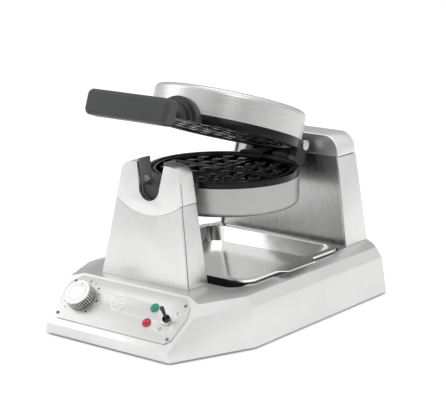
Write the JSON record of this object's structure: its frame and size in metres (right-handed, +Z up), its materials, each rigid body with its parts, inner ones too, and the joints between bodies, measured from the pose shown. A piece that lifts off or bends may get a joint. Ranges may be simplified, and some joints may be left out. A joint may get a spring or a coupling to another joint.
{
  "type": "waffle maker",
  "caption": "Rotating waffle maker: drafted steel base with sloping panel, two towers, and a turning head of round hinged waffle plates over a drip tray.",
  "frame": {"origin": "bottom centre of the whole object's box, on the surface under the rubber feet", "axes": "+X to the right seen from the front, +Y from the control panel towards the rear tower, +Z up"},
  "size_m": [0.254, 0.379, 0.27],
  "materials": {
    "steel_body": "brushed",
    "cast_cap": "satin",
    "panel_face": "fine satin",
    "pan_steel": "brushed around the rim",
    "cast_grid": "non-stick coated",
    "black_plastic": "matt moulded",
    "silver_cap": "spun",
    "polished_steel": "polished",
    "dark_sheet": "dark",
    "zinc_steel": "zinc plated",
    "cast_aluminium": "as cast",
    "bronze": "turned",
    "heater_sheath": "heat tinted",
    "rubber": "moulded",
    "switch_body": "moulded",
    "green_lens": "translucent",
    "red_lens": "translucent"
  },
  "bodies": {
    "base": {"base_housing": "steel_body", "front_tower_shell": "steel_body", "rear_tower_shell": "steel_body", "rear_tower_panel": "steel_body", "front_tower_plate": "steel_body", "front_tower_cap": "cast_cap", "rear_tower_cap": "cast_cap", "control_panel": "panel_face", "saddle_liner": "black_plastic", "toggle_nut": "polished_steel", "panel_screws": "polished_steel", "tray_well": "dark_sheet", "base_bottom_plate": "dark_sheet", "wiring_cover": "dark_sheet", "foot_screws": "zinc_steel", "saddle_post": "zinc_steel", "bearing_housing": "zinc_steel", "bearing_bush": "bronze", "rubber_feet": "rubber", "tray_rests": "rubber", "cord_gland": "rubber", "thermostat_body": "switch_body", "toggle_switch_body": "switch_body", "terminal_block": "switch_body", "ready_lamp_body": "switch_body", "power_lamp_body": "switch_body", "ready_lamp_lens": "green_lens", "power_lamp_lens": "red_lens"},
    "head": {"lower_pan": "pan_steel", "lower_grid": "cast_grid", "lower_heater": "heater_sheath", "lower_pan_screws": "zinc_steel", "lower_collar": "black_plastic", "hinge_bracket": "cast_aluminium", "hinge_pin": "polished_steel", "shaft_retainer": "polished_steel", "friction_sleeve": "polished_steel"},
    "lid": {"upper_pan": "pan_steel", "upper_grid": "cast_grid", "upper_heater": "heater_sheath", "upper_pan_screws": "zinc_steel", "upper_collar": "black_plastic", "handle": "black_plastic", "handle_bolt": "polished_steel", "lid_hinge_arm": "cast_aluminium"},
    "thermostat_knob": {"knob": "silver_cap", "knob_cap": "silver_cap", "knob_shaft": "zinc_steel"},
    "toggle": {"toggle_lever": "black_plastic"},
    "tray": {"drip_tray": "polished_steel"}
  },
  "joints": [
    {"name": "head_turn", "type": "hinge", "parent": "base", "child": "head", "pos_m": [0, 0.015, 0.162], "axis": [0, 1, 0], "range_deg": [-100, 0]},
    {"name": "lid_hinge", "type": "hinge", "parent": "head", "child": "lid", "pos_m": [0, 0.123, 0.177], "axis": [-1, 0, 0], "range_deg": [-19, 46]},
    {"name": "knob_turn", "type": "hinge", "parent": "base", "child": "thermostat_knob", "pos_m": [-0.0575, -0.16176, 0.03967], "axis": [0, -0.6834, 0.7301], "range_deg": [-135, 135]},
    {"name": "toggle_flip", "type": "hinge", "parent": "base", "child": "toggle", "pos_m": [0.065, -0.16563, 0.04015], "axis": [1, 0, 0], "range_deg": [0, 30]},
    {"name": "tray_lift", "type": "slide", "parent": "base", "child": "tray", "axis": [0, 0, 1], "range_m": [0, 0.05]}
  ]
}
